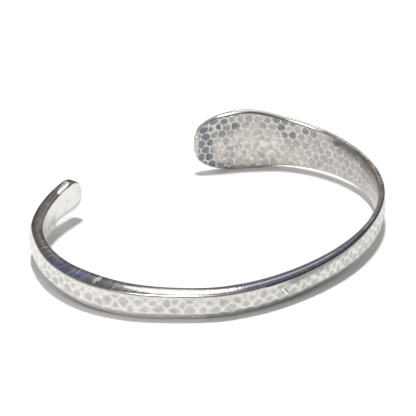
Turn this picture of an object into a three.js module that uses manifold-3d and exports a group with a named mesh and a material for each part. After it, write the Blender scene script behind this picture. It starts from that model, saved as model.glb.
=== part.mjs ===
// Spoon bangle: a one-piece open cuff, forged from a single silver bar.
// One end is beaten out into a broad spoon bowl, the bar narrows and thickens
// round the front of the wrist, and the other end is a small flared tip.
// Units are millimetres and +Z is up. The cuff lies on its side, on the edge of
// its bowl and on the front of its bar, with the wrist hole open along Z.
import * as THREE from 'three';
import { mergeVertices } from 'three/addons/utils/BufferGeometryUtils.js';
import Module from 'manifold-3d';

// ---- the oval that the bar is bent round ----
const INNER_WIDTH = 60;         // left to right, before the spread below
const INNER_DEPTH = 48;         // front to back, before the spread below
const GAP_TO_BOWL = 29.4;       // from the middle of the gap (+Y) to the tip of the bowl, degrees
const GAP_TO_SMALL = 27.5;      // from the middle of the gap to the small end, degrees
const TANGENT_STEP = 0.002;     // share of the turn over which the bar's direction is taken

// ---- the bar, from the tip of the bowl round the front to the small end ----
// turn: share of the sweep from one end to the other
// spread: how far the inside stands out from the oval (minus: bent inwards)
// wide: height of the bar as it lies; thick: from inside face to outside face
// lift: how far the middle line leaves its level plane, a slight twist of the forging
// crown: bulge of the outside face; dish: hollow of the inside face
const BAR = [
  { turn: 0.00, spread: -1.70, wide: 9.2,  thick: 0.90, lift: 0.02,  crown: 0.35, dish: 0.20 },
  { turn: 0.03, spread: -1.55, wide: 10.9, thick: 1.10, lift: 0.06,  crown: 0.40, dish: 0.30 },
  { turn: 0.07, spread: -0.70, wide: 11.9, thick: 1.35, lift: 0.05,  crown: 0.45, dish: 0.35 },
  { turn: 0.12, spread: 0.45,  wide: 9.6,  thick: 1.35, lift: -0.12, crown: 0.40, dish: 0.25 },
  { turn: 0.20, spread: 0.80,  wide: 7.3,  thick: 1.40, lift: -0.15, crown: 0.30, dish: 0.12 },
  { turn: 0.30, spread: 1.20,  wide: 5.8,  thick: 1.10, lift: -0.05, crown: 0.35, dish: 0.05 },
  { turn: 0.40, spread: 0.97,  wide: 5.4,  thick: 1.08, lift: 0.12,  crown: 0.30, dish: 0.00 },
  { turn: 0.50, spread: 0.27,  wide: 4.4,  thick: 1.85, lift: 0.20,  crown: 0.40, dish: 0.00 },
  { turn: 0.60, spread: 0.15,  wide: 4.4,  thick: 2.50, lift: 0.00,  crown: 0.45, dish: 0.00 },
  { turn: 0.65, spread: -0.42, wide: 4.5,   thick: 2.62, lift: -0.08, crown: 0.40, dish: 0.00 },
  { turn: 0.70, spread: -0.68, wide: 4.6,   thick: 3.00, lift: -0.14, crown: 0.35, dish: 0.00 },
  { turn: 0.75, spread: -0.95, wide: 4.45,  thick: 3.20, lift: -0.13, crown: 0.32, dish: 0.00 },
  { turn: 0.80, spread: -0.72, wide: 4.3,   thick: 2.60, lift: -0.12, crown: 0.30, dish: 0.00 },
  { turn: 0.85, spread: -0.57, wide: 4.35,  thick: 1.95, lift: -0.10, crown: 0.37, dish: 0.00 },
  { turn: 0.90, spread: -0.85, wide: 4.5,  thick: 1.98, lift: -0.09, crown: 0.45, dish: 0.00 },
  { turn: 1.00, spread: -3.35, wide: 6.8,  thick: 1.95, lift: -0.10, crown: 0.15, dish: 0.00 },
];

// ---- the two ends, rounded off in outline ----
const BOWL_NOSE = { turn: 0.045, blunt: 2.6, tipShare: 0.37 };
const SMALL_NOSE = { turn: 0.020, blunt: 2.1, tipShare: 0.34 };

// ---- the edges ----
const EDGE_ROUND_SHARE = 0.25;  // corner radius as a share of the thickness
const EDGE_ROUND_MOST = 0.32;
const SIDE_CROWN = 0.05;        // bulge of the two narrow sides
const RIM_DRESS = 0.20;         // how far the bowl's upper rim slopes down to its inside
const RIM_END = [0.15, 0.22];      // shares of the turn over which that ends
const UNDER_DRAW = 0.55;        // how far the outside is drawn in along its lower edge
const UNDER_REACH = 1.9;        // height over which it is drawn in
const UNDER_START = [0.28, 0.42];  // shares of the turn over which that begins
const UNDER_END = [0.80, 0.88];    // and ends

// ---- how it lies ----
const LEAN_BACK = 3.8;          // the back is higher, because the bowl is broad; degrees about X
const LEAN_LEFT = 1.8;          // the bowl's side is higher; degrees about Y
const FLAT_WEAR = 0.12;         // depth of the two spots worn flat where it stands
const TABLE_DEPTH = 10;         // of the block that wears them off

// ---- fineness of the mesh ----
const BODY_STATIONS = 76;
const NOSE_STATIONS = 8;
const CORNER_STEPS = 3;
const BROAD_STEPS = 4;
const SIDE_STEPS = 2;
const MERGE_WITHIN = 1e-4;

// Smooth value of one column of the table at a share of the turn.
function column(name, turn) {
  const last = BAR.length - 1;
  let i = 0;
  while (i < last - 1 && turn > BAR[i + 1].turn) i += 1;
  const slope = (k) => {
    const a = BAR[Math.max(k - 1, 0)];
    const b = BAR[Math.min(k + 1, last)];
    return (b[name] - a[name]) / (b.turn - a.turn);
  };
  const span = BAR[i + 1].turn - BAR[i].turn;
  const t = (turn - BAR[i].turn) / span;
  const rise = BAR[i + 1][name] - BAR[i][name];
  const startSlope = slope(i) * span;
  const endSlope = slope(i + 1) * span;
  const bend = startSlope + endSlope - 2 * rise;
  return BAR[i][name] + startSlope * t + (3 * rise - 2 * startSlope - endSlope) * t * t + bend * t * t * t;
}

// Outline of an end: 1 along the bar, falling to tipShare of the width at the very tip.
function noseShare(fromTip, nose) {
  if (fromTip >= nose.turn) return 1;
  const back = 1 - fromTip / nose.turn;
  const rounded = Math.pow(1 - Math.pow(back, nose.blunt), 1 / nose.blunt);
  return nose.tipShare + (1 - nose.tipShare) * rounded;
}

// A point of the inside face's middle line.
function insidePoint(turn) {
  const sweep = 360 - GAP_TO_BOWL - GAP_TO_SMALL;
  const angle = THREE.MathUtils.degToRad(90 - GAP_TO_BOWL - turn * sweep);
  const a = INNER_WIDTH / 2;
  const b = INNER_DEPTH / 2;
  const outward = new THREE.Vector2(Math.cos(angle) * b, Math.sin(angle) * a).normalize();
  const spread = column('spread', THREE.MathUtils.clamp(turn, 0, 1));
  return new THREE.Vector2(a * Math.cos(angle), b * Math.sin(angle)).addScaledVector(outward, spread);
}

// Outward direction of the bar at a share of the turn; the sweep runs clockwise.
function outwardAt(turn) {
  const along = insidePoint(turn + TANGENT_STEP).sub(insidePoint(turn - TANGENT_STEP)).normalize();
  return new THREE.Vector2(-along.y, along.x);
}

// Closed section of the bar, counter-clockwise as (outward, up) pairs.
function section(turn) {
  const thick = column('thick', turn);
  const narrowing = noseShare(turn, BOWL_NOSE) * noseShare(1 - turn, SMALL_NOSE);
  const half = (column('wide', turn) * narrowing) / 2;
  const round = Math.min(thick * EDGE_ROUND_SHARE, EDGE_ROUND_MOST);
  const crown = column('crown', turn) * narrowing;
  const dish = column('dish', turn) * narrowing;
  const points = [];
  const corner = (u, v, startDegrees) => {
    for (let k = 0; k <= CORNER_STEPS; k += 1) {
      const angle = THREE.MathUtils.degToRad(startDegrees + (90 * k) / CORNER_STEPS);
      points.push([u + round * Math.cos(angle), v + round * Math.sin(angle)]);
    }
  };
  const broad = (u, fromV, toV, bulge) => {
    for (let k = 1; k < BROAD_STEPS; k += 1) {
      const share = k / BROAD_STEPS;
      const bow = bulge * (1 - Math.pow(2 * share - 1, 2));
      points.push([u + bow, THREE.MathUtils.lerp(fromV, toV, share)]);
    }
  };
  const side = (v, fromU, toU, bulge) => {
    for (let k = 1; k < SIDE_STEPS; k += 1) {
      const share = k / SIDE_STEPS;
      const bow = bulge * (1 - Math.pow(2 * share - 1, 2));
      points.push([THREE.MathUtils.lerp(fromU, toU, share), v + bow]);
    }
  };
  const inU = round;
  const outU = thick - round;
  const topV = half - round;
  corner(outU, -topV, -90);
  broad(thick, -topV, topV, crown);
  corner(outU, topV, 0);
  side(half, outU, inU, SIDE_CROWN);
  corner(inU, topV, 90);
  broad(0, topV, -topV, dish);
  corner(inU, -topV, 180);
  side(-half, inU, outU, -SIDE_CROWN);
  const begun = THREE.MathUtils.smoothstep(turn, UNDER_START[0], UNDER_START[1]);
  const ended = THREE.MathUtils.smoothstep(turn, UNDER_END[0], UNDER_END[1]);
  const dress = RIM_DRESS * narrowing * (1 - THREE.MathUtils.smoothstep(turn, RIM_END[0], RIM_END[1]));
  for (const point of points) {
    const low = THREE.MathUtils.clamp(1 - (point[1] + half) / UNDER_REACH, 0, 1);
    const high = THREE.MathUtils.clamp(point[1] / half, 0, 1);
    point[1] -= dress * high * (1 - THREE.MathUtils.clamp(point[0] / thick, 0, 1));
    point[0] -= (UNDER_DRAW * begun * (1 - ended) * low * low * point[0]) / thick;
  }
  return points;
}

// Shares of the turn at which the bar has a section, closer together in the noses.
function stations() {
  const turns = [];
  const bowlEnd = BOWL_NOSE.turn;
  const smallStart = 1 - SMALL_NOSE.turn;
  for (let k = 0; k < NOSE_STATIONS; k += 1) {
    turns.push(bowlEnd * (1 - Math.cos((Math.PI / 2) * (k / NOSE_STATIONS))));
  }
  for (let k = 0; k <= BODY_STATIONS; k += 1) {
    turns.push(THREE.MathUtils.lerp(bowlEnd, smallStart, k / BODY_STATIONS));
  }
  for (let k = 1; k <= NOSE_STATIONS; k += 1) {
    turns.push(smallStart + SMALL_NOSE.turn * Math.sin((Math.PI / 2) * (k / NOSE_STATIONS)));
  }
  return turns;
}

// The whole bar as one closed surface, with its middle plane level at Z = 0.
function forgedBar() {
  const turns = stations();
  const positions = [];
  let ring = 0;
  for (const turn of turns) {
    const inside = insidePoint(turn);
    const outward = outwardAt(turn);
    const lift = column('lift', turn);
    const points = section(turn);
    ring = points.length;
    for (const [out, up] of points) {
      positions.push(inside.x + outward.x * out, inside.y + outward.y * out, lift + up);
    }
  }
  const index = [];
  for (let s = 0; s < turns.length - 1; s += 1) {
    for (let k = 0; k < ring; k += 1) {
      const a = s * ring + k;
      const b = s * ring + ((k + 1) % ring);
      index.push(a, b, a + ring, b, b + ring, a + ring);
    }
  }
  const last = (turns.length - 1) * ring;
  for (let k = 1; k < ring - 1; k += 1) {
    index.push(0, k + 1, k);
    index.push(last, last + k, last + k + 1);
  }
  const geometry = new THREE.BufferGeometry();
  geometry.setAttribute('position', new THREE.Float32BufferAttribute(positions, 3));
  geometry.setIndex(index);
  return geometry;
}

// Leans the bar as it lies, then wears off what would reach under the table.
function laidDown(geometry, wasm) {
  geometry.rotateX(THREE.MathUtils.degToRad(LEAN_BACK));
  geometry.rotateY(THREE.MathUtils.degToRad(-LEAN_LEFT));
  geometry.computeBoundingBox();
  geometry.translate(0, 0, -geometry.boundingBox.min.z - FLAT_WEAR);
  const table = new THREE.BoxGeometry(INNER_WIDTH * 2, INNER_DEPTH * 2, TABLE_DEPTH);
  table.translate(0, 0, -TABLE_DEPTH / 2);
  const worn = asManifold(geometry, wasm).subtract(asManifold(table, wasm));
  const mesh = worn.getMesh();
  const result = new THREE.BufferGeometry();
  result.setAttribute('position', new THREE.BufferAttribute(mesh.vertProperties, mesh.numProp));
  result.setIndex(new THREE.BufferAttribute(mesh.triVerts, 1));
  return result;
}

// The same surface as a solid that can be cut, with its shared corners merged.
function asManifold(geometry, wasm) {
  const bare = geometry.clone();
  bare.deleteAttribute('normal');
  bare.deleteAttribute('uv');
  const merged = mergeVertices(bare, MERGE_WITHIN);
  return new wasm.Manifold(new wasm.Mesh({
    numProp: 3,
    vertProperties: new Float32Array(merged.attributes.position.array),
    triVerts: new Uint32Array(merged.index.array),
  }));
}

const wasm = await Module();
wasm.setup();

const bangleGeometry = laidDown(forgedBar(), wasm);
bangleGeometry.computeBoundingBox();
const middle = bangleGeometry.boundingBox.getCenter(new THREE.Vector3());
bangleGeometry.translate(-middle.x, -middle.y, 0);
bangleGeometry.computeVertexNormals();

const silver = new THREE.MeshStandardMaterial({ color: 0xb9b4ab, roughness: 0.32, metalness: 1.0 });
const bangle = new THREE.Mesh(bangleGeometry, silver);
bangle.name = 'bangle';

const spoonBangle = new THREE.Group();
spoonBangle.add(bangle);

export default spoonBangle;
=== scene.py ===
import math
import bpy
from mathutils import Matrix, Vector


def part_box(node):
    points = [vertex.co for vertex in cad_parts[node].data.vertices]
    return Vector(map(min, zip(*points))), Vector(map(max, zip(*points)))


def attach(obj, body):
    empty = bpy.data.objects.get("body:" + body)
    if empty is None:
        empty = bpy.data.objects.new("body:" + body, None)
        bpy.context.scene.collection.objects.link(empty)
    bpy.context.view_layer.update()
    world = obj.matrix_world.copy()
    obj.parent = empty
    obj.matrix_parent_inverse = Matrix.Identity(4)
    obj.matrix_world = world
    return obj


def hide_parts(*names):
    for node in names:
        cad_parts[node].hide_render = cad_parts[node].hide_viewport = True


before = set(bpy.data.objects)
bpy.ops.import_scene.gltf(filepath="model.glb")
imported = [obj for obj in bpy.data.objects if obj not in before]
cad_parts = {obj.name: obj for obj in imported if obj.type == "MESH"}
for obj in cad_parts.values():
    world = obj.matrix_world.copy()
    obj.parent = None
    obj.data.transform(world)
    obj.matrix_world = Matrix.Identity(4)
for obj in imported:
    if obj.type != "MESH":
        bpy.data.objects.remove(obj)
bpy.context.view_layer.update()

# Spoon bangle: a hammered silver cuff on a pale floor. The bar is made as a smith makes it:
# a plain stock with rounded edges is forged to width and thickness while it is straight,
# hammered inside and out, bent round the oval and laid on its side. All of that is done
# at one unit to a millimetre, and the last step brings it to metres.
from types import SimpleNamespace

import bmesh
import bpy
import numpy as np
from mathutils import Matrix, Vector

METRES = 0.001          # one millimetre
DEGREES = 180 / math.pi

# ---- the oval that the bar is bent round ----
INNER_WIDTH = 60.0      # left to right, before the spread below
INNER_DEPTH = 48.0      # front to back, before the spread below
GAP_TO_BOWL = 29.4      # from the middle of the gap (+Y) to the tip of the bowl, degrees
GAP_TO_SMALL = 27.5     # from the middle of the gap to the small end, degrees

# ---- the bar, from the tip of the bowl round the front to the small end ----
# turn: share of the sweep from one end to the other
# spread: how far the inside stands out from the oval (minus: bent inwards)
# wide: height of the bar as it lies; thick: from inside face to outside face
# lift: how far the middle line leaves its level plane, a slight twist of the forging
# crown: bulge of the outside face; dish: hollow of the inside face
BAR_COLUMNS = ("turn", "spread", "wide", "thick", "lift", "crown", "dish")
BAR_ROWS = [
    (0.00, -1.70, 9.2, 0.90, 0.02, 0.35, 0.20),
    (0.03, -1.55, 10.9, 1.10, 0.06, 0.40, 0.30),
    (0.07, -0.70, 11.9, 1.35, 0.05, 0.45, 0.35),
    (0.12, 0.45, 9.6, 1.35, -0.12, 0.40, 0.25),
    (0.20, 0.80, 7.3, 1.40, -0.15, 0.30, 0.12),
    (0.30, 1.20, 5.8, 1.10, -0.05, 0.35, 0.05),
    (0.40, 0.97, 5.4, 1.08, 0.12, 0.30, 0.00),
    (0.50, 0.27, 4.4, 1.85, 0.20, 0.40, 0.00),
    (0.60, 0.15, 4.4, 2.50, 0.00, 0.45, 0.00),
    (0.65, -0.42, 4.5, 2.62, -0.08, 0.40, 0.00),
    (0.70, -0.68, 4.6, 3.00, -0.14, 0.35, 0.00),
    (0.75, -0.95, 4.45, 3.20, -0.13, 0.32, 0.00),
    (0.80, -0.72, 4.3, 2.60, -0.12, 0.30, 0.00),
    (0.85, -0.57, 4.35, 1.95, -0.10, 0.37, 0.00),
    (0.90, -0.85, 4.5, 1.98, -0.09, 0.45, 0.00),
    (1.00, -3.35, 6.8, 1.95, -0.10, 0.15, 0.00),
]
BAR = np.array(BAR_ROWS, dtype=[(name, float) for name in BAR_COLUMNS])

# ---- the two ends, rounded off in outline: length as a share of the turn, bluntness, width left ----
BOWL_NOSE = (0.045, 2.6, 0.37)
SMALL_NOSE = (0.020, 2.1, 0.34)

# ---- the edges ----
EDGE_ROUND_SHARE = 0.25     # corner radius as a share of the thickness
EDGE_ROUND_MOST = 0.32
RIM_DRESS = 0.20            # how far the bowl's upper rim slopes down to its inside
RIM_END = (0.15, 0.22)      # shares of the turn over which that ends
UNDER_DRAW = 0.55           # how far the outside is drawn in along its lower edge, past the shoulder
UNDER_REACH = 1.9           # height over which it is drawn in
UNDER_START = (0.28, 0.42)  # shares of the turn over which that begins
UNDER_END = (0.80, 0.88)    # and ends
SIDE_CROWN = 0.05           # bulge of the two narrow sides
END_ROUND = 0.32            # rounding of the rim at the two ends

# ---- the hammering ----
# rows: heights of the rows of blows above the middle line; pitch: from blow to blow in a row
# stray: how far a blow goes astray; uneven: how much its force differs
# ball: radius of the hammer's face; depth: how deep a middling blow goes
OUTER_ROWS = (-6.5, -5.2, -3.9, -2.55, -1.20, 0.15, 1.00, 1.85, 2.7, 3.9, 5.2, 6.5)
OUTER_BLOWS = {"rows": OUTER_ROWS, "pitch": 1.95, "stray": 0.22, "uneven": 0.25}
OUTER_HAMMER = {"ball": 5.5, "depth": 0.085}
OUTER_BARE = 0.5            # length left bare at each end
INNER_ROWS = (-7.1, -5.7, -4.25, -2.85, -1.4, 0, 1.4, 2.85, 4.25, 5.7)
INNER_BLOWS = {"rows": INNER_ROWS, "pitch": 1.62, "stray": 0.21, "uneven": 0.12}
INNER_HAMMER = {"ball": 6.5, "depth": 0.060}
INNER_RUN = (0.4, 70)       # length of the bar between which the inside is struck
INNER_FADE = (0.27, 0.33)   # shares of the turn over which the inside's blows end
BLOW_SEED = 12
BLOW_REACH = 4              # no blow is felt farther along the bar
FACET_PITCH = 1.6           # usual distance between two blows
FACET_SOFT = 0.13           # rounding of the facets' outlines
RIDGE_SOFT = 0.010          # rounding of the ridges between them

# ---- how it lies ----
LEAN_BACK = 3.8             # degrees about X
LEAN_LEFT = 1.8             # degrees about Y
TOP_GAP = 0.01              # the bowl's top edge stays this far under the top of the part's box

# ---- the plain stock that the bar is forged from ----
STOCK_LONG = 150.0
STOCK_WIDE = 8.0
STOCK_THICK = 2.0
STOCK_ROUND = 0.5
ROUND_STEPS = 4
RING_PASSES = (27, 29)      # cuts of the length, one after the other
BROAD_CUTS = 43
SIDE_CUTS = 4
BOWL_DENSER = 0.55          # how much closer the rings lie in the bowl
NOSE_DENSER = 7             # and at the very ends
BOWL_NOSE_SPAN = 0.004      # shares of the turn over which they do
SMALL_NOSE_SPAN = 0.003
FORMER_POINTS = 301         # of the curve that the bar is bent round
SMOOTH_UNDER = 40           # degrees between two faces that are shaded as one


# ------------------------------------------------------------------ the form of the bar

def column(name, turn):
    """Smooth value of one column of the bar's table at shares of the turn."""
    knots, values = BAR["turn"], BAR[name]
    before = np.maximum(np.arange(len(knots)) - 1, 0)
    after = np.minimum(np.arange(len(knots)) + 1, len(knots) - 1)
    slopes = (values[after] - values[before]) / (knots[after] - knots[before])
    i = np.clip(np.searchsorted(knots, turn) - 1, 0, len(knots) - 2)
    span = knots[i + 1] - knots[i]
    t = (turn - knots[i]) / span
    rise = values[i + 1] - values[i]
    start, end = slopes[i] * span, slopes[i + 1] * span
    return values[i] + start * t + (3 * rise - 2 * start - end) * t**2 + (start + end - 2 * rise) * t**3


def nose_share(from_tip, nose):
    """Outline of an end: 1 along the bar, falling towards the very tip."""
    reach, blunt, tip_share = nose
    back = 1 - np.clip(from_tip / reach, 0, 1)
    return tip_share + (1 - tip_share) * (1 - back**blunt) ** (1 / blunt)


def inside_line(turn):
    """Points of the inside face's middle line, seen from above."""
    sweep = 360 - GAP_TO_BOWL - GAP_TO_SMALL
    angle = np.radians(90 - GAP_TO_BOWL - turn * sweep)
    a, b = INNER_WIDTH / 2, INNER_DEPTH / 2
    outward = np.stack((np.cos(angle) * b, np.sin(angle) * a), axis=-1)
    outward /= np.linalg.norm(outward, axis=-1, keepdims=True)
    on_oval = np.stack((np.cos(angle) * a, np.sin(angle) * b), axis=-1)
    return on_oval + outward * column("spread", turn)[:, None]


TURNS = np.linspace(0, 1, 1201)
LINE = inside_line(TURNS)
RUN = np.concatenate(([0], np.cumsum(np.linalg.norm(np.diff(LINE, axis=0), axis=1))))
BAR_LONG = RUN[-1]


def smooth_step(value, low, high):
    t = np.clip((value - low) / (high - low), 0, 1)
    return t * t * (3 - 2 * t)


def turn_of_stock(share):
    """Where a ring of the stock ends up: the rings lie closer in the bowl and closest in the noses."""
    density = 1 + BOWL_DENSER * (1 - smooth_step(TURNS, 0.2, 0.5))
    density += NOSE_DENSER * np.exp(-TURNS / BOWL_NOSE_SPAN)
    density += NOSE_DENSER * np.exp((TURNS - 1) / SMALL_NOSE_SPAN)
    filled = np.concatenate(([0], np.cumsum((density[1:] + density[:-1]) / 2)))
    return np.interp(share, filled / filled[-1], TURNS)


# ------------------------------------------------------------------ bench work

def only(thing):
    """Selects one object and nothing else."""
    bpy.ops.object.select_all(action="DESELECT")
    thing.select_set(True)
    bpy.context.view_layer.objects.active = thing


def apply_place(thing):
    only(thing)
    bpy.ops.object.transform_apply(location=True, rotation=True, scale=True)


def apply_modifier(thing, kind, **settings):
    only(thing)
    modifier = thing.modifiers.new(kind.lower(), kind)
    for name, value in settings.items():
        setattr(modifier, name, value)
    bpy.ops.object.modifier_apply(modifier=modifier.name)


def points_of(thing):
    flat = np.empty(len(thing.data.vertices) * 3)
    thing.data.vertices.foreach_get("co", flat)
    return flat.reshape(-1, 3)


def set_points(thing, points):
    thing.data.vertices.foreach_set("co", points.ravel())
    thing.data.update()


def mark(thing, name, values):
    """Keeps a number, or three, with each point of the metal, for the finish to read."""
    kind, field = ("FLOAT", "value") if values.ndim == 1 else ("FLOAT_VECTOR", "vector")
    attribute = thing.data.attributes.new(name, kind, "POINT")
    attribute.data.foreach_set(field, values.astype(np.float32).ravel())


def cut_edges(axis, longer_than, cuts):
    """In edit mode: cuts every long edge that runs along an axis."""
    mesh = bmesh.from_edit_mesh(bpy.context.edit_object.data)
    for edge in mesh.edges:
        run = edge.verts[1].co - edge.verts[0].co
        edge.select_set(abs(run[axis]) > 0.999 * run.length and run.length > longer_than)
    mesh.select_flush_mode()
    bmesh.update_edit_mesh(bpy.context.edit_object.data)
    bpy.ops.mesh.subdivide(number_cuts=cuts)


# ------------------------------------------------------------------ making the bangle

def bar_stock():
    """A straight bar with rounded edges, cut into rings and lines. X runs along it, Y from its
    inside face to its outside face, and Z across it."""
    bpy.ops.object.select_all(action="DESELECT")
    bpy.ops.mesh.primitive_cube_add(
        size=1,
        location=(STOCK_LONG / 2, STOCK_THICK / 2, 0),
        scale=(STOCK_LONG, STOCK_THICK, STOCK_WIDE),
    )
    bar = bpy.context.object
    bar.name = bar.data.name = "spoon_bangle"
    apply_place(bar)
    bpy.ops.object.mode_set(mode="EDIT")
    bpy.ops.mesh.select_mode(type="EDGE")
    bpy.ops.mesh.select_all(action="SELECT")
    bpy.ops.mesh.bevel(offset=STOCK_ROUND, segments=ROUND_STEPS, affect="EDGES")
    for cuts in RING_PASSES:
        cut_edges(0, STOCK_ROUND, cuts)
    cut_edges(2, STOCK_ROUND, BROAD_CUTS)
    cut_edges(1, STOCK_ROUND, SIDE_CUTS)
    bpy.ops.object.mode_set(mode="OBJECT")
    return bar


def stretch(value, stock_size, size, corner):
    """Brings a measure of the stock to a new size, with a new corner radius at both ends."""
    low = np.minimum(value, STOCK_ROUND) * corner / STOCK_ROUND
    high = np.maximum(value - (stock_size - STOCK_ROUND), 0) * corner / STOCK_ROUND
    middle = np.clip(value - STOCK_ROUND, 0, stock_size - 2 * STOCK_ROUND)
    return low + high + middle * (size - 2 * corner) / (stock_size - 2 * STOCK_ROUND)


def bow(share):
    """1 in the middle of a face, 0 at its edges."""
    return 1 - (2 * np.clip(share, 0, 1) - 1) ** 2


def forge(bar):
    """Beats the stock to the sections of the table, still straight."""
    x, y, z = points_of(bar).T
    ring_share = (x - STOCK_ROUND) / (STOCK_LONG - 2 * STOCK_ROUND)
    turn = turn_of_stock(np.clip(ring_share, 0, 1))
    thick = column("thick", turn)
    narrowing = nose_share(turn, BOWL_NOSE) * nose_share(1 - turn, SMALL_NOSE)
    wide = column("wide", turn) * narrowing
    corner = np.minimum(thick * EDGE_ROUND_SHARE, EDGE_ROUND_MOST)

    across = (z + STOCK_WIDE / 2 - STOCK_ROUND) / (STOCK_WIDE - 2 * STOCK_ROUND)
    through = (y - STOCK_ROUND) / (STOCK_THICK - 2 * STOCK_ROUND)
    hollow = column("dish", turn) * (1 - y / STOCK_THICK)
    bulge = column("crown", turn) * y / STOCK_THICK
    new_y = stretch(y, STOCK_THICK, thick, corner) + (hollow + bulge) * narrowing * bow(across)
    above_low = stretch(z + STOCK_WIDE / 2, STOCK_WIDE, wide, corner)
    drawn = UNDER_DRAW * smooth_step(turn, *UNDER_START) * (1 - smooth_step(turn, *UNDER_END))
    drawn *= np.clip(1 - above_low / UNDER_REACH, 0, 1) ** 2
    new_y -= drawn * new_y / thick
    dressed = RIM_DRESS * narrowing * (1 - smooth_step(turn, *RIM_END))
    dressed *= 1 - np.clip(new_y / thick, 0, 1)
    new_z = above_low - wide / 2
    new_z -= dressed * np.clip(2 * new_z / wide, 0, 1)
    new_z += column("lift", turn)
    new_z += SIDE_CROWN * bow(through) * 2 * z / STOCK_WIDE

    into_rim = np.minimum(x, STOCK_ROUND) - np.minimum(STOCK_LONG - x, STOCK_ROUND)
    along = np.interp(turn, TURNS, RUN)
    rim = END_ROUND / BAR_LONG
    new_x = END_ROUND + along * (1 - 2 * rim) + into_rim * END_ROUND / STOCK_ROUND
    set_points(bar, np.stack((new_x, new_y, new_z), axis=-1))
    return turn, y / STOCK_THICK, z / (STOCK_WIDE / 2)


def blows(chance, start, end, rows, pitch, stray, uneven):
    """Middles of the hammer blows on a face, in rows that miss each other, each a little astray."""
    middles = []
    for row, height in enumerate(rows):
        for k in range(int((end - start) / pitch)):
            x = start + (k + 0.5 * (row % 2)) * pitch + chance.normal(0, stray)
            z = height + chance.normal(0, 0.7 * stray)
            middles.append((x, z, chance.uniform(1 - uneven, 1 + uneven), chance.random()))
    return np.array(middles)


def hammer(x, z, struck, ball, depth):
    """For points on a face: depth of the hammered face below the bare one, the distance from
    the ridges round a facet, and the facet's own tone and height."""
    deepest = np.full(len(x), 1e3)
    tone = np.zeros(len(x))
    level = np.zeros(len(x))
    for blow_x, blow_z, force, shade in struck:
        near = np.abs(x - blow_x) < BLOW_REACH
        height = ((x[near] - blow_x) ** 2 + (z[near] - blow_z) ** 2) / (2 * ball) - depth * force
        lower = height < deepest[near]
        tone[near] = np.where(lower, shade, tone[near])
        level[near] = np.where(lower, blow_z, level[near])
        deepest[near] = np.where(lower, height, deepest[near])
    others = np.zeros(len(x))
    nearest = np.full(len(x), 1e3)
    for blow_x, blow_z, force, _ in struck:
        near = np.abs(x - blow_x) < BLOW_REACH
        height = ((x[near] - blow_x) ** 2 + (z[near] - blow_z) ** 2) / (2 * ball) - depth * force
        behind = height - deepest[near]
        others[near] += np.where(behind > 0, np.exp(-behind * ball / FACET_PITCH / FACET_SOFT), 0)
        nearest[near] = np.where(behind > 0, np.minimum(nearest[near], behind), nearest[near])
    from_ridge = -FACET_SOFT * np.log(np.maximum(others, 1e-6))
    blend = np.maximum(RIDGE_SOFT - nearest, 0) / RIDGE_SOFT
    surface = np.minimum(deepest - blend**2 * RIDGE_SOFT / 4, 0)
    return surface, np.clip(from_ridge, -0.3, 1), tone, level


def planish(bar, turn, through, across):
    """Hammers the outside from end to end, and the inside of the bowl and its shoulder."""
    chance = np.random.default_rng(BLOW_SEED)
    points = points_of(bar)
    x, y, z = points.T
    mark(bar, "place", points)
    mark(bar, "through", through)
    mark(bar, "across", across)
    lift = column("lift", turn)

    outside = np.clip((through - 1 + STOCK_ROUND / STOCK_THICK) * STOCK_THICK / STOCK_ROUND, 0, 1)
    inside = np.clip((STOCK_ROUND / STOCK_THICK - through) * STOCK_THICK / STOCK_ROUND, 0, 1)
    on_rim = np.minimum(x, BAR_LONG - x)

    struck = blows(chance, OUTER_BARE, BAR_LONG - OUTER_BARE, **OUTER_BLOWS)
    below, ridge_out, tone_out, level_out = hammer(x, z - lift, struck, **OUTER_HAMMER)
    half = column("wide", turn) / 2
    top_gap = half - (z - lift)
    reach_out = outside * smooth_step(top_gap, 0.15, 0.9) * smooth_step(on_rim, 0.3, 1.4)
    y_out = below * reach_out

    struck = blows(chance, *INNER_RUN, **INNER_BLOWS)
    below, ridge_in, tone_in, level_in = hammer(x, z - lift, struck, **INNER_HAMMER)
    edge_gap = (1 - np.abs(across)) * half
    reach_in = inside * smooth_step(edge_gap, 0.25, 0.8) * smooth_step(on_rim, 0.35, 0.75)
    reach_in *= 1 - smooth_step(turn, *INNER_FADE)
    y_in = -below * reach_in

    points[:, 1] += y_out + y_in
    set_points(bar, points)
    mark(bar, "outside", outside)
    mark(bar, "inside", inside)
    mark(bar, "hammered", np.maximum(reach_out, reach_in))
    mark(bar, "from_ridge", np.where(through > 0.5, ridge_out, ridge_in))
    mark(bar, "tone", np.where(through > 0.5, tone_out, tone_in))
    mark(bar, "level", np.where(through > 0.5, level_out, level_in))
    mark(bar, "turn", turn)


def bend(bar):
    """Bends the straight bar round the oval."""
    steps = np.linspace(0, len(TURNS) - 1, FORMER_POINTS).round().astype(int)
    former_curve = bpy.data.curves.new("former", "CURVE")
    former_curve.dimensions = "2D"
    former_curve.resolution_u = 6
    spline = former_curve.splines.new("NURBS")
    spline.points.add(len(steps) - 1)
    for point, (x, y) in zip(spline.points, LINE[steps]):
        point.co = (x, y, 0, 1)
    spline.order_u = 4
    spline.use_endpoint_u = True
    former = bpy.data.objects.new("former", former_curve)
    bpy.context.scene.collection.objects.link(former)
    apply_modifier(bar, "CURVE", object=former, deform_axis="POS_X")
    bpy.data.objects.remove(former)


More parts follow.
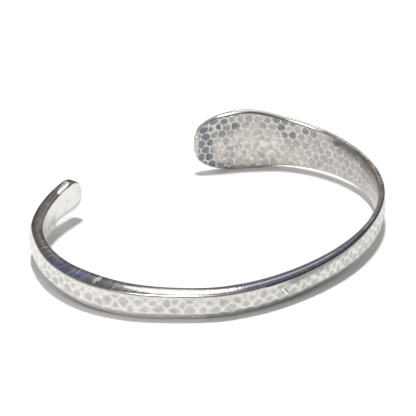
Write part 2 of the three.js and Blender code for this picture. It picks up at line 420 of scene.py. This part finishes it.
def lay_down(bar):
    """Leans the bangle as it rests, wears its two standing spots flat and puts it where the part lies."""
    bar.rotation_euler = (math.radians(LEAN_BACK), math.radians(-LEAN_LEFT), 0)
    apply_place(bar)
    low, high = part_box("bangle")
    points = points_of(bar)
    points[:, 2] += high.z / METRES - TOP_GAP - points[:, 2].max()
    set_points(bar, points)
    bpy.ops.object.mode_set(mode="EDIT")
    bpy.ops.mesh.select_all(action="SELECT")
    bpy.ops.mesh.bisect(
        plane_co=(0, 0, 0), plane_no=(0, 0, 1), use_fill=True, clear_inner=True, threshold=1e-5
    )
    bpy.ops.object.mode_set(mode="OBJECT")
    bar.scale = (METRES, METRES, METRES)
    apply_place(bar)
    points = points_of(bar)
    middle = (points.min(axis=0) + points.max(axis=0)) / 2
    points[:, 0] += (low.x + high.x) / 2 - middle[0]
    points[:, 1] += (low.y + high.y) / 2 - middle[1]
    set_points(bar, points)
    only(bar)
    bpy.ops.object.shade_smooth_by_angle(angle=math.radians(SMOOTH_UNDER))


bangle = bar_stock()
planish(bangle, *forge(bangle))
bend(bangle)
lay_down(bangle)


# ------------------------------------------------------------------ finishes

class Wire:
    """One output of a node. Sums on wires add the Math nodes."""

    def __init__(self, recipe, socket):
        self.recipe = recipe
        self.socket = socket

    def math(self, operation, *values):
        return self.recipe.node("ShaderNodeMath", {"operation": operation}, values)

    def __add__(self, other):
        return self.math("ADD", self, other)

    def __sub__(self, other):
        return self.math("SUBTRACT", self, other)

    def __rsub__(self, other):
        return self.math("SUBTRACT", other, self)

    def __mul__(self, other):
        return self.math("MULTIPLY", self, other)

    def __truediv__(self, other):
        return self.math("DIVIDE", self, other)

    __radd__ = __add__
    __rmul__ = __mul__

    def size(self):
        """The value without its sign."""
        return self.math("ABSOLUTE", self)

    def or_more(self, other):
        """The larger of two values."""
        return self.math("MAXIMUM", self, other)


class Recipe:
    """A node tree that is written as expressions."""

    def __init__(self, tree):
        self.tree = tree
        tree.nodes.clear()

    def node(self, kind, settings=None, values=(), output=0):
        """Adds a node: its settings first, then the values or wires of its sockets."""
        node = self.tree.nodes.new(kind)
        for name, value in (settings or {}).items():
            setattr(node, name, value)
        pairs = values.items() if isinstance(values, dict) else enumerate(values)
        for name, value in pairs:
            if isinstance(value, Wire):
                self.tree.links.new(value.socket, node.inputs[name])
            else:
                node.inputs[name].default_value = value
        return Wire(self, node.outputs[output]) if node.outputs else node

    def attribute(self, name, output=2):
        return self.node("ShaderNodeAttribute", {"attribute_name": name}, output=output)

    def rise(self, value, low, high):
        """0 below low, 1 above high, smooth between."""
        settings = {"interpolation_type": "SMOOTHSTEP"}
        return self.node("ShaderNodeMapRange", settings, {"Value": value, "From Min": low, "From Max": high})

    def band(self, value, low, high, soft):
        """1 between low and high, falling off softly outside."""
        return self.rise(value, low - soft, low) * (1 - self.rise(value, high, high + soft))

    def noise(self, place, size, stretch=(1, 1, 1), detail=2.0, roughness=0.5):
        """Cloudy pattern with blotches of a size in millimetres, drawn out along an axis."""
        scale = tuple(1 / (size * s) for s in stretch)
        mapped = self.node("ShaderNodeMapping", None, {"Vector": place, "Scale": scale})
        return self.node(
            "ShaderNodeTexNoise",
            None,
            {"Vector": mapped, "Scale": 1.0, "Detail": detail, "Roughness": roughness},
        )

    def spot(self, first, second, middle, reach, soft=0.5):
        """1 in an oval patch of two measures, round a middle, with a soft edge."""
        a = (first - middle[0]) / reach[0]
        b = (second - middle[1]) / reach[1]
        return 1 - self.rise(a * a + b * b, 1 - soft, 1 + soft)

    def mix(self, mask, first, second):
        """Colour that goes from the first to the second with the mask."""
        settings = {"data_type": "RGBA"}
        return self.node("ShaderNodeMix", settings, {0: mask, 6: first, 7: second}, output=2)


def colour(red, green, blue):
    return (red, green, blue, 1)


def new_recipe(name):
    material = bpy.data.materials.new(name)
    material.use_nodes = True
    return material, Recipe(material.node_tree)


# ---- the silver's colours ----
POLISHED = colour(0.88, 0.87, 0.85)
HIGHLIGHT_WHITE = colour(0.92, 0.91, 0.90)
NEARLY_WHITE = colour(1.0, 0.99, 0.97)
SCRATCH_LIGHT = colour(0.72, 0.72, 0.75)
SCRATCH_DARK = colour(0.08, 0.075, 0.08)
FRESH_METAL_AND_GLINT = colour(0.95, 0.95, 0.95)
SPECKLE = colour(0.30, 0.29, 0.28)

BOWL_RIDGE = colour(0.63, 0.61, 0.58)
RUBBED_AND_LIT_DULL = colour(0.54, 0.52, 0.49)
RUBBED_AND_LIT_BRIGHT = colour(0.80, 0.77, 0.73)
GREY_TARNISH = colour(0.36, 0.35, 0.34)
WARM_TARNISH = colour(0.31, 0.295, 0.30)
BLUE_BLACK_TARNISH_AND_SHADE = colour(0.13, 0.145, 0.175)
BOWL_TIP_RIM = colour(0.56, 0.57, 0.54)
BOWL_RIM_SHADE = colour(0.16, 0.165, 0.15)

DRAWN_DARK = colour(0.30, 0.28, 0.28)
DRAWN_LIGHT = colour(0.85, 0.84, 0.82)
SHADE_BLACK = colour(0.075, 0.065, 0.06)
SHADE_BROWN = colour(0.19, 0.16, 0.15)
SHADE_GREY = colour(0.16, 0.15, 0.15)

SMALL_END_BRIGHT = colour(0.76, 0.755, 0.735)
SMALL_END_DULL = colour(0.52, 0.52, 0.51)
SMALL_END_RIM = colour(0.40, 0.40, 0.39)
SMALL_END_STREAK = colour(0.34, 0.33, 0.33)
PIT_DEEP = colour(0.35, 0.37, 0.40)
PIT_SHALLOW = colour(0.50, 0.50, 0.50)

OUTER_RIDGE = colour(0.76, 0.75, 0.725)
OUTER_FACET_DARK = colour(0.38, 0.37, 0.365)
OUTER_FACET_LIGHT = colour(0.62, 0.61, 0.59)
LOW_ROW_SHADE = colour(0.64, 0.625, 0.66)
LOW_ROW_LIGHTENED = colour(0.80, 0.78, 0.75)
OUTER_TOP_DARK = colour(0.22, 0.21, 0.21)
NICK_DARK = colour(0.08, 0.07, 0.07)

HEAT_BLUE = colour(0.19, 0.23, 0.46)
INNER_CORNER_SHADE = colour(0.13, 0.13, 0.125)
OUTER_CORNER = colour(0.22, 0.215, 0.21)
OUTER_CORNER_DARK = colour(0.10, 0.095, 0.12)

# ---- patches on the narrow side, one over the other: tarnish, with painted dark reflections of the room and one painted highlight line ----
# from_turn, to_turn, soft_turn: where along the bar, as shares of the turn
# inner, outer, soft: where through the thickness, 0 at the inside face and 1 at the outside
# much: how strong; tint: its colour
SIDE_TARNISH_AND_REFLECTIONS = [
    (0.000, 0.010, 0.006, -0.1, 1.10, 0.10, 0.90, (0.36, 0.37, 0.35)),
    (0.022, 0.056, 0.010, -0.1, 0.27, 0.10, 0.85, (0.24, 0.24, 0.235)),
    (0.060, 0.120, 0.012, -0.1, 0.10, 0.12, 0.75, (0.30, 0.305, 0.29)),
    (0.122, 0.160, 0.008, -0.1, 0.18, 0.10, 0.85, (0.15, 0.15, 0.145)),
    (0.155, 0.178, 0.008, -0.1, 0.22, 0.10, 0.75, (0.32, 0.32, 0.31)),
    (0.178, 0.232, 0.008, -0.1, 0.28, 0.10, 0.60, (0.55, 0.55, 0.53)),
    (0.176, 0.268, 0.010, 0.30, 0.54, 0.09, 0.90, (0.17, 0.175, 0.165)),
    (0.236, 0.258, 0.006, -0.1, 0.28, 0.12, 0.95, (0.10, 0.095, 0.09)),
    (0.262, 0.284, 0.006, 0.36, 0.54, 0.08, 0.90, (0.08, 0.075, 0.07)),
    (0.285, 0.375, 0.012, -0.1, 0.42, 0.15, 0.95, (0.46, 0.43, 0.42)),
    (0.375, 0.415, 0.008, -0.1, 0.28, 0.12, 0.80, (0.75, 0.73, 0.72)),
    (0.375, 0.415, 0.008, 0.28, 0.50, 0.10, 0.90, (0.40, 0.38, 0.38)),
    (0.285, 0.330, 0.012, 0.42, 0.70, 0.10, 0.95, (0.09, 0.08, 0.075)),
    (0.330, 0.420, 0.012, 0.50, 1.10, 0.12, 0.90, (0.20, 0.19, 0.19)),
    (0.312, 0.420, 0.010, 0.80, 1.10, 0.06, 0.95, (0.10, 0.095, 0.095)),
    (0.420, 0.590, 0.010, -0.1, 0.40, 0.10, 0.95, (0.36, 0.36, 0.40)),
    (0.425, 0.590, 0.010, 0.38, 0.64, 0.06, 0.98, (0.11, 0.11, 0.15)),
    (0.425, 0.590, 0.010, 0.63, 1.10, 0.05, 1.00, (0.065, 0.06, 0.115)),
    # painted highlight: a light line along the navy stretch
    (0.480, 0.590, 0.010, 0.505, 0.540, 0.03, 0.80, (0.42, 0.44, 0.56)),
    (0.590, 0.755, 0.012, -0.1, 1.10, 0.10, 0.95, (0.20, 0.19, 0.20)),
    (0.605, 0.700, 0.010, 0.68, 1.10, 0.05, 0.95, (0.15, 0.145, 0.145)),
    (0.745, 0.830, 0.008, -0.1, 0.40, 0.12, 0.95, (0.18, 0.16, 0.16)),
    (0.745, 0.830, 0.008, 0.40, 1.10, 0.12, 0.90, (0.25, 0.24, 0.27)),
    (0.830, 1.010, 0.010, -0.1, 1.10, 0.10, 0.95, (0.33, 0.31, 0.29)),
    (0.835, 0.955, 0.010, 0.13, 0.40, 0.07, 0.92, (0.06, 0.055, 0.05)),
    (0.840, 0.955, 0.010, 0.68, 0.74, 0.06, 0.60, (0.10, 0.095, 0.09)),
    (0.885, 0.955, 0.008, 0.78, 1.10, 0.06, 0.95, (0.07, 0.065, 0.06)),
    (0.974, 1.010, 0.006, -0.1, 1.10, 0.10, 0.95, (0.12, 0.12, 0.105)),
]

# ---- where the bowl's inside is lighter, rubbed bright and with a painted reflection of the lit floor: turn, across, their reaches, softness, how much ----
RUBBED_AND_LIT_SPOTS = [
    (0.078, -0.15, 0.038, 0.55, 0.9, 1.0),
    (0.040, -0.35, 0.020, 0.45, 0.8, 0.9),
    (0.125, -0.60, 0.030, 0.35, 0.9, 0.7),
]

# ---- two small pits in the small end: turn, across, their reaches, colour ----
PITS = [
    (0.972, 0.17, 0.0013, 0.06, PIT_DEEP),
    (0.979, 0.02, 0.0010, 0.05, PIT_SHALLOW),
]

# ---- the nick in the outside face: a dark cut with a bright burr beside it ----
NICK_ACROSS = (0.02, 0.42)
NICK_SLANT = 0.010
NICK_CUT = (0.5398, 0.5406)
NICK_BURR = (0.5418, 0.5426)

# ---- the painted highlight band on the front of the narrow side ----
LIT_MIDDLE = 0.645          # share of the turn
LIT_REACH = 0.062           # over which it narrows to nothing
LIT_HALF = 0.17             # half its width at the middle, as a share of the thickness
LIT_CENTRE = 0.51           # where it runs through the thickness
LIT_SLANT = 0.6

# ---- the blue stain ----
BLUE_TURN = (0.758, 0.806)
BLUE_THROUGH = (0.46, 0.92)
BLUE_SLANT = 0.09

# ---- the painted highlight near the small end, a bright drop ----
DROP_START = 0.957          # share of the turn
DROP_LONG = 0.027
DROP_MIDDLE = 0.47          # of its length
DROP_HALF = 0.56
DROP_CENTRE = 0.20          # where it starts through the thickness, bending outwards from there
DROP_BEND = 0.42
DROP_ROUND = 0.085


def read_metal(r):
    """All that the bench work kept with the metal, and the patterns that the finish is made of."""
    place = r.attribute("place", output=1)
    metal = SimpleNamespace(place=place)
    for name in ("turn", "through", "across", "hammered", "from_ridge", "tone", "inside", "outside", "level"):
        setattr(metal, name, r.attribute(name))
    metal.side = (1 - metal.inside) * (1 - metal.outside)
    metal.cloud = r.noise(place, 2.6, detail=3.0)
    metal.grain = r.noise(place, 0.42, detail=3.0, roughness=0.65)
    metal.streak = r.noise(place, 0.30, stretch=(1, 9, 9), detail=3.0, roughness=0.6)
    metal.brush = r.noise(place, 0.22, stretch=(14, 14, 1), detail=2.0, roughness=0.6)
    metal.wander = 0.32 * (metal.grain - 0.5) + 0.15 * (metal.cloud - 0.5)
    metal.in_facet = r.rise(metal.from_ridge + metal.wander, -0.02, 0.20) * metal.hammered
    metal.near_top = r.rise(metal.across, 0.5, 0.8)
    return metal


def bowl_tarnish_and_shade(r, metal, tone):
    """How dark each part of the bowl's inside is made: its tip, its top row and its lower corner in
    painted shade, and some facets of the shoulder in tarnish."""
    turn, across = metal.turn, metal.across
    tip = 1 - r.rise(turn, 0.016, 0.034)
    top_row = r.rise(across, 0.10, 0.45) * (1 - r.rise(turn, 0.045, 0.065))
    low_corner = (1 - r.rise(across, -0.80, -0.60)) * (1 - r.rise(turn, 0.045, 0.060))
    shoulder = r.rise(across, -0.10, 0.55) * r.band(turn, 0.095, 0.235, 0.02)
    tarnish_and_shade = tip.or_more(top_row * (0.75 + 0.25 * tone))
    tarnish_and_shade = tarnish_and_shade.or_more(low_corner)
    return tarnish_and_shade.or_more(0.68 * shoulder * r.rise(tone, 0.35, 0.75))


def bowl_rubbing_and_reflection(r, metal):
    """Where the bowl's inside is lighter: high spots bright from rubbing, and a painted reflection of the lit
    floor.
    """
    rubbing_and_reflection = None
    for turn, across, turn_reach, across_reach, soft, much in RUBBED_AND_LIT_SPOTS:
        spot = much * r.spot(metal.turn, metal.across, (turn, across), (turn_reach, across_reach), soft)
        rubbing_and_reflection = rubbing_and_reflection.or_more(spot) if rubbing_and_reflection else spot
    return rubbing_and_reflection * (0.35 + 0.8 * r.rise(metal.cloud, 0.38, 0.62))


def bowl_inside(r, metal):
    """Tarnished facets between ridges bright with wear, with painted shade at the tip, the top row,
    the lower corner and along the top of the shoulder, lighter in the middle with wear and a painted
    reflection of the lit floor, fading into the drawn lines of the bar.
    """
    turn, across, brush = metal.turn, metal.across, metal.brush
    calm = r.band(turn, 0.14, 0.34, 0.03) * (1 - r.rise(across, 0.05, 0.35))
    tone = metal.tone * (1 - 0.6 * calm)
    # tarnish on some facets of the shoulder; painted shade at the tip, the top row and the lower corner
    tarnish_and_shade = bowl_tarnish_and_shade(r, metal, tone)
    # wear together with a painted reflection of the lit floor
    rubbed_and_lit = bowl_rubbing_and_reflection(r, metal)
    fading = r.rise(turn, 0.250, 0.330)

    dulled = metal.in_facet * (0.55 + 0.45 * tone) * (1 - 0.80 * rubbed_and_lit) * (1 - 0.75 * fading)
    dulled = dulled * (0.25 + 1.5 * metal.grain)
    dulled = dulled.or_more(tarnish_and_shade * metal.in_facet * (0.65 + 0.6 * metal.grain))
    blotch = r.noise(metal.place, 0.9, detail=3.0, roughness=0.6)
    rubbed_and_lit_tone = r.mix(r.rise(blotch, 0.38, 0.60), RUBBED_AND_LIT_DULL, RUBBED_AND_LIT_BRIGHT)
    bright = r.mix(rubbed_and_lit, BOWL_RIDGE, rubbed_and_lit_tone)
    tarnished = r.mix(r.rise(tone, 0.2, 0.9), GREY_TARNISH, WARM_TARNISH)
    dull = r.mix(tarnish_and_shade * (0.60 + 0.40 * tone), tarnished, BLUE_BLACK_TARNISH_AND_SHADE)
    face = r.mix(dulled, bright, dull)

    drawn = r.rise(turn, 0.22, 0.31)
    face = r.mix(0.75 * drawn * r.rise(brush, 0.42, 0.66), face, DRAWN_DARK)
    face = r.mix(0.75 * drawn * (1 - r.rise(brush, 0.34, 0.48)), face, DRAWN_LIGHT)
    black = r.band(turn, 0.205, 0.345, 0.03) * r.rise(across + brush - 0.5, 0.45, 0.85)
    face = r.mix(0.9 * black, face, SHADE_BLACK)
    lines = r.noise(metal.place, 0.38, stretch=(16, 16, 1), detail=1.0)
    brown = r.band(turn, 0.265, 0.40, 0.02) * r.rise(across + 3.0 * (lines - 0.5), 0.05, 0.55)
    face = r.mix(0.75 * brown, face, SHADE_BROWN)
    grey = r.band(turn, 0.215, 0.262, 0.015) * r.rise(across + 0.4 * (brush - 0.5), 0.25, 0.60)
    face = r.mix(0.5 * grey, face, SHADE_GREY)
    tip_rim = 1 - r.rise(turn, 0.0020, 0.0042)
    return r.mix(tip_rim, face, BOWL_TIP_RIM)


def small_end_inside(r, metal):
    """Bright smooth metal with faint streaks, a rim darkened in painted shade, a grey line low down,
    a painted highlight along the lower edge, and two pits.
    """
    turn, across, streak = metal.turn, metal.across, metal.streak
    face = r.mix(0.35 * r.rise(streak, 0.42, 0.70), SMALL_END_BRIGHT, SMALL_END_DULL)
    # darker towards the tip's rim in painted shade; a grey line low on the face
    low_line = r.band(across, -0.60, -0.45, 0.12) * r.rise(turn, 0.93, 0.95)
    rim = 0.2 * r.rise(turn, 0.985, 0.997) + 0.5 * low_line
    face = r.mix(rim, face, SMALL_END_RIM)
    # painted highlight: the lower edge lit white
    under_light = (1 - r.rise(across, -0.72, -0.58)) * r.rise(turn, 0.930, 0.945)
    face = r.mix(under_light, face, NEARLY_WHITE)
    grey_streaks = r.band(turn, 0.895, 0.940, 0.01) * (1 - r.rise(across, -0.3, 0.3))
    grey_streaks = grey_streaks * r.rise(streak, 0.35, 0.6)
    face = r.mix(0.75 * grey_streaks, face, SMALL_END_STREAK)
    for pit_turn, pit_across, turn_reach, across_reach, tint in PITS:
        pit = r.spot(turn, across, (pit_turn, pit_across), (turn_reach, across_reach))
        face = r.mix(pit, face, tint)
    return face


def outer_face(r, metal):
    """Pale facets between brighter ridges, a greyer lower row in painted bluish shade at the right and
    front and in plain painted light further left, a darker top at the right, and the nick.
    """
    turn, across = metal.turn, metal.across
    fading = 1 - 0.6 * r.rise(turn, 0.79, 0.86)
    in_facet = r.rise(metal.from_ridge + 1.1 * metal.wander, -0.04, 0.26) * metal.hammered * fading
    pale = r.mix(r.rise(metal.grain, 0.35, 0.65), OUTER_FACET_DARK, OUTER_FACET_LIGHT)
    face = r.mix(in_facet * (0.80 + 0.20 * metal.tone), OUTER_RIDGE, pale)
    low_row = 1 - r.rise(metal.level, -0.75, -0.45)
    # painted shade: bluish facets on the lower row at the right and front
    face = r.mix(0.60 * low_row * in_facet * r.band(turn, 0.435, 0.62, 0.02), face, LOW_ROW_SHADE)
    # painted light: the lower row further left plain and lighter
    face = r.mix(low_row * r.band(turn, 0.625, 0.83, 0.01), face, LOW_ROW_LIGHTENED)
    # darker along the top of the outside face on the right
    top_darkening = r.band(turn, 0.30, 0.53, 0.02) * r.rise(across + 3.0 * (turn - 0.45), 0.60, 0.95)
    face = r.mix(0.8 * top_darkening, face, OUTER_TOP_DARK)
    nick = r.band(across, *NICK_ACROSS, 0.08) * metal.outside
    nick_at = turn - NICK_SLANT * across
    face = r.mix(nick * r.band(nick_at, *NICK_CUT, 0.0005), face, NICK_DARK)
    return r.mix(nick * r.band(nick_at, *NICK_BURR, 0.0005), face, FRESH_METAL_AND_GLINT)


def narrow_side(r, metal):
    """Bare silver, tarnished patch by patch and darkened with painted reflections, with a painted
    highlight band at the front, a patch stained blue, a painted glint, a painted highlight drop
    near the small end, and scratches that run across it."""
    turn, through, streak, grain = metal.turn, metal.through, metal.streak, metal.grain
    face = POLISHED
    # tarnish and painted dark reflections, patch by patch
    for from_turn, to_turn, soft_turn, inner, outer, soft, much, tint in SIDE_TARNISH_AND_REFLECTIONS:
        patch = r.band(turn, from_turn, to_turn, soft_turn) * r.band(through, inner, outer, soft)
        face = r.mix(much * patch, face, colour(*tint))

    # painted highlight: the white band across the front of the narrow side
    from_middle = (turn - LIT_MIDDLE).size() / LIT_REACH
    lit_half = LIT_HALF * (1 - from_middle * from_middle)
    from_lit = (through - LIT_CENTRE + LIT_SLANT * (turn - LIT_MIDDLE)).size()
    lit = 1 - r.rise(from_lit - lit_half + 0.4 * (streak - 0.5), -0.05, 0.08)
    lit = lit * r.band(turn, 0.585, 0.705, 0.01)
    blue = r.band(turn - BLUE_SLANT * (through - 0.6), *BLUE_TURN, 0.012)
    blue = blue * r.band(through, *BLUE_THROUGH, 0.10) * (0.78 + 0.25 * r.rise(streak, 0.38, 0.56))
    # painted glint: one bright spot on the side
    sparkle = r.spot(turn, through, (0.738, 0.45), (0.0030, 0.30)) * r.rise(grain, 0.40, 0.52)
    # painted highlight: a bright drop near the small end
    along = (turn - DROP_START) / DROP_LONG
    off_line = (through - DROP_CENTRE - DROP_BEND * along * along).size()
    off_middle = (along - DROP_MIDDLE) / DROP_HALF
    off_drop = off_middle * off_middle + off_line * off_line / DROP_ROUND
    drop = 1 - r.rise(off_drop + 0.5 * (grain - 0.5), 0.75, 1.05)

    scratched = metal.side * (1 - r.band(turn, 0.015, 0.18, 0.02)) * (1 - 0.6 * r.rise(turn, 0.82, 0.86))
    scratched = scratched * (1 - 0.7 * lit) * (1 - 0.85 * r.band(turn, 0.425, 0.595, 0.010))
    face = r.mix(lit, face, HIGHLIGHT_WHITE)
    face = r.mix(blue, face, HEAT_BLUE)
    face = r.mix(0.50 * scratched * r.rise(streak, 0.53, 0.64), face, SCRATCH_LIGHT)
    face = r.mix(0.65 * scratched * (1 - r.rise(streak, 0.36, 0.46)), face, SCRATCH_DARK)
    face = r.mix(sparkle, face, FRESH_METAL_AND_GLINT)
    return r.mix(drop, face, NEARLY_WHITE)


def corner_of(share):
    """1 in the middle of a rounded corner, 0 where it meets the two faces."""
    return 4 * share * (1 - share)


def darken_corners(r, metal, base):
    """Darker upper corners of the bar: a painted dark reflection along the inner corner and the bowl's
    rim, along the outer corner the narrow side's tarnish with painted shade, and tarnish in specks all over.
    """
    turn, across, outside = metal.turn, metal.across, metal.outside
    # painted shade: a dark reflection line along the inner upper corner
    inner_corner = corner_of(metal.inside) * metal.near_top * (1 - r.rise(turn, 0.262, 0.285))
    base = r.mix(0.9 * inner_corner, base, INNER_CORNER_SHADE)
    # painted shade: a dark line along the bowl's upper rim
    rim_line = r.band(across, 0.90, 0.96, 0.03) * metal.inside * r.band(turn, 0.045, 0.150, 0.02)
    base = r.mix(0.7 * rim_line, base, BOWL_RIM_SHADE)
    # outer upper corner: the narrow side's tarnish carried over, with painted shade
    outer_corner = corner_of(outside) * metal.near_top * r.rise(turn, 0.2, 0.3)
    base = r.mix(0.8 * outer_corner, base, OUTER_CORNER)
    dark = r.band(turn, 0.320, 0.555, 0.012) + r.band(turn, 0.890, 0.955, 0.008)
    dark = dark * outside * (1 - r.rise(outside, 0.90, 1.0)) * r.rise(across, 0.6, 0.9)
    base = r.mix(r.rise(dark, 0.0, 0.3), base, OUTER_CORNER_DARK)
    speckled = 0.35 * (1 - r.rise(turn, 0.80, 0.90) * metal.inside)
    return r.mix(speckled * r.rise(metal.grain, 0.40, 0.75), base, SPECKLE)


def silver_finish():
    """Tarnished silver with painted light and shade: dull facets, ridges bright with wear, narrow sides
    tarnished and darkened with painted reflections, painted highlights and a glint, and a bright small end.
    """
    material, r = new_recipe("hammered_silver")
    metal = read_metal(r)
    turn, side = metal.turn, metal.side
    inner = r.mix(r.rise(turn, 0.80, 0.88), bowl_inside(r, metal), small_end_inside(r, metal))
    base = r.mix(metal.outside, inner, outer_face(r, metal))
    # the inner corner at the small end takes the narrow side's tarnish and painted reflections
    corner_in_side_colour = corner_of(metal.inside) * metal.near_top * r.rise(turn, 0.70, 0.76)
    base = r.mix(side.or_more(corner_in_side_colour), base, narrow_side(r, metal))
    base = darken_corners(r, metal, base)

    rough = 0.32 + 0.10 * metal.in_facet - 0.16 * side + 0.12 * (metal.streak - 0.5)
    height = 0.004 * metal.grain * (1 - side) + 0.006 * metal.streak * side
    bump = r.node("ShaderNodeBump", None, {"Height": height, "Distance": METRES, "Strength": 1.0})
    shader = r.node(
        "ShaderNodeBsdfPrincipled",
        None,
        {"Base Color": base, "Metallic": 1.0, "Roughness": rough, "Normal": bump},
    )
    r.node("ShaderNodeOutputMaterial", None, {"Surface": shader})
    return material


bangle.data.materials.clear()
bangle.data.materials.append(silver_finish())
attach(bangle, "root")
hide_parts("bangle")


# ------------------------------------------------------------------ camera

VIEW_SIDE = -42.2           # degrees round from looking along +Y
VIEW_HEIGHT = 27.0          # degrees above the floor
VIEW_AWAY = 0.224           # from the middle of the oval on the floor
VIEW_LENS = 115.2
VIEW_SENSOR = 36
VIEW_ROLL = 0.37            # degrees
VIEW_NEAREST = 0.01
AIM_RIGHT = -0.000185       # the camera is aimed beside and above that middle
AIM_UP = 0.00419
OVAL_MIDDLE = Vector((-0.000129, 0.003078, 0))  # on the floor; it isn't the middle of the part's box

view_side = math.radians(VIEW_SIDE)
view_height = math.radians(VIEW_HEIGHT)
view_flat = math.cos(view_height)
BACK = Vector((math.sin(view_side) * view_flat, -math.cos(view_side) * view_flat, math.sin(view_height)))
RIGHT = Vector((math.cos(view_side), math.sin(view_side), 0))
UP = BACK.cross(RIGHT)
FORWARD = Vector((-BACK.x, -BACK.y, 0)).normalized()     # away from the camera, level


def set_camera():
    camera = bpy.data.objects.new("camera", bpy.data.cameras.new("camera"))
    bpy.context.scene.collection.objects.link(camera)
    roll = math.radians(VIEW_ROLL)
    right = RIGHT * math.cos(roll) + UP * math.sin(roll)
    up = UP * math.cos(roll) - RIGHT * math.sin(roll)
    stand = OVAL_MIDDLE + BACK * VIEW_AWAY
    target = OVAL_MIDDLE + right * AIM_RIGHT + up * AIM_UP
    back = (stand - target).normalized()
    right = up.cross(back).normalized()
    up = back.cross(right)
    axes = Matrix((right, up, back)).transposed()
    camera.matrix_world = Matrix.Translation(stand) @ axes.to_4x4()
    camera.data.lens = VIEW_LENS
    camera.data.sensor_width = VIEW_SENSOR
    camera.data.clip_start = VIEW_NEAREST
    bpy.context.scene.camera = camera


# ------------------------------------------------------------------ floor and light

FLOOR_RADIUS = 0.9
PAPER = colour(0.86, 0.86, 0.86)
DAYLIGHT = colour(1.0, 0.975, 0.945)

# ---- the lamp, nearly overhead: right of the bangle, away from the camera, and up ----
LAMP_PLACE = (-0.05, 0.15, 1.40)
LAMP_WIDE = 0.18
LAMP_POWER = 17.0


def floor():
    bpy.ops.object.select_all(action="DESELECT")
    bpy.ops.mesh.primitive_circle_add(vertices=96, radius=FLOOR_RADIUS, fill_type="NGON", location=(0, 0, 0))
    sheet = bpy.context.object
    sheet.name = sheet.data.name = "floor"
    material, r = new_recipe("pale_paper")
    shader = r.node("ShaderNodeBsdfPrincipled", None, {"Base Color": PAPER, "Roughness": 0.9})
    r.node("ShaderNodeOutputMaterial", None, {"Surface": shader})
    sheet.data.materials.append(material)


def lamp():
    """A round soft lamp aimed at the bangle."""
    light = bpy.data.lights.new("lamp", "AREA")
    light.shape = "DISK"
    light.size = LAMP_WIDE
    light.energy = LAMP_POWER
    thing = bpy.data.objects.new("lamp", light)
    bpy.context.scene.collection.objects.link(thing)
    to_right, away, up = LAMP_PLACE
    spot = RIGHT * to_right + FORWARD * away + Vector((0, 0, up))
    thing.location = spot
    thing.rotation_euler = spot.to_track_quat("Z", "Y").to_euler()


def studio_world():
    """A grey room by direction. Beyond the bangle is a wall with a bright window high up and
    lighter panels beside it, behind the camera a wall that is lit low down, to the left a glow,
    and straight above a dim ceiling. Angles are in degrees, round to the right and up."""
    world = bpy.data.worlds.new("studio")
    bpy.context.scene.world = world
    world.use_nodes = True
    r = Recipe(world.node_tree)
    direction = r.node("ShaderNodeTexCoord", output=0)
    height_up = r.node("ShaderNodeSeparateXYZ", None, {0: direction}, output=2)
    up = r.node("ShaderNodeMath", {"operation": "ARCSINE"}, (height_up,)) * DEGREES
    dot = {"operation": "DOT_PRODUCT"}
    to_right = r.node("ShaderNodeVectorMath", dot, {0: direction, 1: RIGHT}, output=1)
    away = r.node("ShaderNodeVectorMath", dot, {0: direction, 1: FORWARD}, output=1)
    round_right = to_right.math("ARCTAN2", to_right, away) * DEGREES

    window_side = r.band(round_right, -2.5, 4, 3)
    far_wall = 0.38 + 0.62 * r.band(round_right, 8, 22, 4) * (1 - r.rise(up, 24, 31))
    far_wall += 0.20 * r.band(round_right, -28, -6, 6) * (1 - r.rise(up, 22, 30))
    far_wall += 1.5 * window_side * r.band(up, 36, 50, 3)
    far_wall += 0.30 * window_side * r.band(up, 50, 58, 3)
    far_wall += 0.45 * r.band(round_right, 3, 14, 5) * r.band(up, 40, 42.5, 2)
    far_wall += 0.90 * r.band(round_right, 8, 24, 4) * r.band(up, 38, 52, 3)
    near_wall = 0.20 + 0.55 * r.band(up, -4, 18, 8)
    wall = far_wall + (near_wall - far_wall) * r.rise(round_right.size(), 95, 125)
    left_glow = r.band(round_right, -150, -70, 20) * r.band(up, 4, 50, 8)
    wall += (1.15 - wall) * left_glow
    level = wall + (0.45 - wall) * r.rise(up, 56, 64)
    background = r.node("ShaderNodeBackground", None, {"Color": DAYLIGHT, "Strength": level})
    r.node("ShaderNodeOutputWorld", None, {"Surface": background})


set_camera()
floor()
studio_world()
lamp()
bpy.context.scene.view_settings.view_transform = "Standard"
